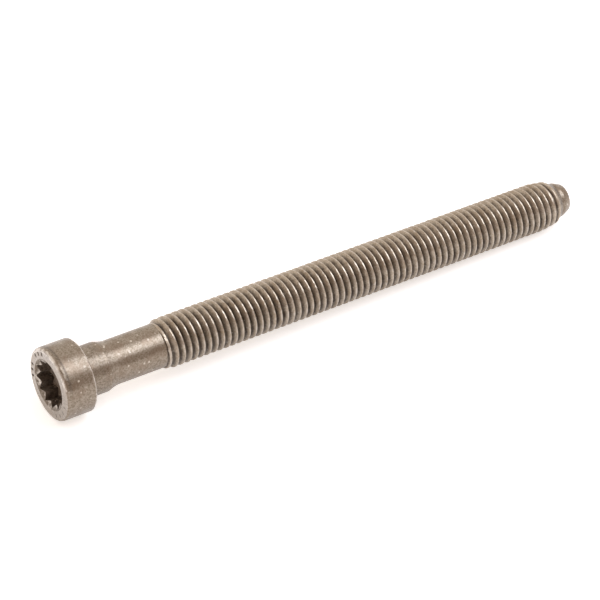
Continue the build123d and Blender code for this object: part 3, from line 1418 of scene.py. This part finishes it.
@dataclass
class HeadBolt:
    """The whole bolt: one piece of steel, one closed skin."""

    name: str = "head_bolt_steel"
    columns: int = 120
    star_turn: float = -9.7
    merge_mm: float = 0.004
    sharp_angle: float = 50.0
    socket: DriveSocket = field(default_factory=DriveSocket)
    head: Head = field(default_factory=Head)
    collar: GuideCollar = field(default_factory=GuideCollar)
    shank: Shank = field(default_factory=Shank)
    thread: RolledThread = field(default_factory=RolledThread)
    pilot: Pilot = field(default_factory=Pilot)

    def build(self, lie: Lie) -> bpy.types.Object:
        """Builds, joins and dresses the bolt and lays it in its place.

        Args:
            lie: Where the bolt lies.

        Returns:
            The finished piece, riding on its body, with the CAD node's own part hidden.
        """
        materials = [steel.build(lie.tilt) for steel in STEELS]
        skin = Skin(self.columns, self.star_turn)
        mouth = self.socket.build(skin)
        ring = self.head.build(skin, mouth, self.socket.mouth_radius + self.socket.mouth_break, self.collar)
        ring = self.collar.build(skin, ring, self.shank.radius)
        self.shank.build(skin, ring, self.collar.start + self.collar.length + self.collar.taper_length)
        self.pilot.build(skin, self.thread)
        thread = self.thread.build(skin, self.shank, self.pilot, materials[Zone.ROLLED.value])
        LOG.info("thread: %d faces", len(thread.polygons))
        mesh = self._join(skin.to_mesh(self.name), thread)
        mesh.transform(lie.matrix())
        for material in materials:
            mesh.materials.append(material)
        piece = bpy.data.objects.new(self.name, mesh)
        bpy.context.scene.collection.objects.link(piece)
        mesh.set_sharp_from_angle(angle=radians(self.sharp_angle))
        smooth = piece.modifiers.new("Even shading", "WEIGHTED_NORMAL")
        smooth.keep_sharp = True
        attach(piece, BODY)
        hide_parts(BOLT_NODE)
        return piece

    def _join(self, body: bpy.types.Mesh, thread: bpy.types.Mesh) -> bpy.types.Mesh:
        """Merges the thread into the rest of the skin and turns all faces outwards.

        Args:
            body: The mesh of everything but the thread, which is kept.
            thread: The thread's mesh.

        Returns:
            The closed mesh.
        """
        whole = bmesh.new()
        whole.from_mesh(body)
        body_faces = len(whole.faces)
        whole.from_mesh(thread)
        whole.faces.ensure_lookup_table()
        for face in whole.faces[body_faces:]:
            face.material_index = Zone.ROLLED.value
        open_points = list({point for edge in whole.edges if edge.is_boundary for point in edge.verts})
        bmesh.ops.remove_doubles(whole, verts=open_points, dist=self.merge_mm)
        bmesh.ops.recalc_face_normals(whole, faces=whole.faces)
        gaps = sum(1 for edge in whole.edges if not edge.is_manifold)
        for face in whole.faces:
            face.smooth = True
        volume = whole.calc_volume(signed=True)
        LOG.info("bolt: %d faces, %d open edges, %.0f mm3", len(whole.faces), gaps, volume)
        whole.to_mesh(body)
        whole.free()
        return body


@dataclass(frozen=True)
class Viewpoint:
    """The camera: its place in millimetres, where it looks and its lens."""

    place_mm: tuple[float, float, float] = (-294.679, -430.556, 371.163)
    azimuth: float = 33.92
    depression: float = 35.174
    lens_mm: float = 162.87
    sensor_mm: float = 36.0
    nearest_mm: float = 10.0

    def build(self) -> bpy.types.Object:
        """Adds the camera and makes it the scene's own.

        Returns:
            The camera.
        """
        data = bpy.data.cameras.new("viewpoint")
        data.lens = self.lens_mm
        data.sensor_width = self.sensor_mm
        data.clip_start = self.nearest_mm * MM
        camera = bpy.data.objects.new("viewpoint", data)
        camera.location = Vector(self.place_mm) * MM
        camera.rotation_euler = Euler((radians(90 - self.depression), 0.0, radians(-self.azimuth)))
        bpy.context.scene.collection.objects.link(camera)
        bpy.context.scene.camera = camera
        return camera


@dataclass(frozen=True)
class Softbox:
    """A soft rectangular lamp in a given direction from the bolt, with its width along the bolt.

    Its angles are in degrees and its sizes in metres.
    """

    name: str
    azimuth: float
    elevation: float
    distance: float
    width: float
    height: float
    radiance: float
    colour: str = "FFFFFF"

    def build(self) -> bpy.types.Object:
        """Adds the lamp, facing the bolt, with the power that gives its radiance.

        Returns:
            The lamp.
        """
        data = bpy.data.lights.new(self.name, "AREA")
        data.shape = "RECTANGLE"
        data.size = self.width
        data.size_y = self.height
        data.energy = self.radiance * pi * self.width * self.height
        data.color = linear(self.colour)[:3]
        lamp = bpy.data.objects.new(self.name, data)
        level, turn = radians(self.elevation), radians(self.azimuth)
        towards = Vector((sin(turn) * cos(level), cos(turn) * cos(level), sin(level)))
        across = towards.cross(Vector((1.0, 0.0, 0.0))).normalized()
        lamp.location = towards * self.distance
        lamp.rotation_euler = Matrix((across.cross(towards), across, towards)).transposed().to_euler()
        bpy.context.scene.collection.objects.link(lamp)
        return lamp


@dataclass(frozen=True)
class PaperFloor:
    """White paper on the studio table, which keeps the bolt's soft shadow.

    Glow is what the paper adds to its own white for the camera, and mirrored_glow what it adds where the
    steel mirrors it.
    """

    reach: float = 4.0
    colour: str = "F0F1F3"
    glow_colour: str = "FFF9F4"
    glow: float = 0.63
    mirrored_glow: float = 0.26

    def build(self) -> bpy.types.Object:
        """Adds the floor.

        Returns:
            The floor.
        """
        mesh = bpy.data.meshes.new("paper_floor")
        reach = self.reach
        mesh.from_pydata([(-reach, -reach, 0), (reach, -reach, 0), (reach, reach, 0), (-reach, reach, 0)], [],
                         [(0, 1, 2, 3)])
        mesh.materials.append(self._paper())
        floor = bpy.data.objects.new("paper_floor", mesh)
        bpy.context.scene.collection.objects.link(floor)
        return floor

    def _paper(self) -> bpy.types.Material:
        """Matt white paper that looks evenly lit to the camera and in the steel, but for the shadow.

        Returns:
            The new material.
        """
        material = bpy.data.materials.new("white_paper")
        material.use_nodes = True
        tree = material.node_tree
        tree.nodes.clear()
        rays = add_node(tree, "ShaderNodeLightPath").outputs
        mirrored = add_node(tree, MATH, {0: rays["Is Glossy Ray"], 1: rays["Is Transmission Ray"]},
                            operation="MAXIMUM")
        mirrored = add_node(tree, MATH, {0: mirrored, 1: self.mirrored_glow}, operation="MULTIPLY")
        strength = add_node(tree, MATH, {0: rays["Is Camera Ray"], 1: self.glow, 2: mirrored},
                            operation="MULTIPLY_ADD")
        glow = add_node(tree, "ShaderNodeEmission", {"Color": linear(self.glow_colour), "Strength": strength})
        sheet = add_node(tree, "ShaderNodeBsdfDiffuse", {"Color": linear(self.colour)})
        both = add_node(tree, "ShaderNodeAddShader", {0: glow, 1: sheet})
        add_node(tree, "ShaderNodeOutputMaterial", {"Surface": both})
        return material


@dataclass(frozen=True)
class StudioRoom:
    """The room round the table: pale behind the bolt and darker where the camera stands."""

    dark: float = 0.48
    pale: float = 0.9
    dark_colour: str = "FFE9DA"
    pale_colour: str = "FFF6EE"
    brightening: Ramp = Ramp(-0.35, 0.55)

    def build(self) -> bpy.types.World:
        """Adds the world and makes it the scene's own.

        Returns:
            The world.
        """
        world = bpy.data.worlds.new("studio_room")
        world.use_nodes = True
        tree = world.node_tree
        tree.nodes.clear()
        direction = add_node(tree, "ShaderNodeTexCoord").outputs["Generated"]
        parts = add_node(tree, "ShaderNodeSeparateXYZ", {0: direction})
        share = add_node(tree, MAP_RANGE, self.brightening.following(parts.outputs["Y"]),
                         interpolation_type="SMOOTHSTEP")
        colour = add_node(tree, MIX, {MIX_FACTOR: share, MIX_FIRST: linear(self.dark_colour),
                                      MIX_SECOND: linear(self.pale_colour)}, data_type="RGBA")
        strength = add_node(tree, MAP_RANGE, Ramp(0.0, 1.0, self.dark, self.pale).following(share))
        glow = add_node(tree, "ShaderNodeBackground",
                        {"Color": colour.outputs[MIX_RESULT], "Strength": strength})
        add_node(tree, "ShaderNodeOutputWorld", {"Surface": glow})
        bpy.context.scene.world = world
        return world


@dataclass(frozen=True)
class Studio:
    """Camera, paper, room and lamp."""

    viewpoint: Viewpoint = Viewpoint()
    floor: PaperFloor = PaperFloor()
    room: StudioRoom = StudioRoom()
    key: Softbox = Softbox("key_softbox", azimuth=126.0, elevation=53.0, distance=1.2, width=1.4,
                           height=0.80, radiance=2.62, colour="EDF4FF")

    def build(self) -> None:
        """Sets up the whole studio."""
        self.viewpoint.build()
        self.floor.build()
        self.room.build()
        self.key.build()
        bpy.context.scene.view_settings.view_transform = "Standard"


def main() -> None:
    """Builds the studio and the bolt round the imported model."""
    logging.basicConfig(level=logging.INFO, format="%(name)s %(message)s")
    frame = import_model()
    Studio().build()
    LOG.info("studio built")
    piece = HeadBolt().build(Lie.from_record(frame["record"]))
    LOG.info("%s built", piece.name)


if __name__ == "__main__":
    main()
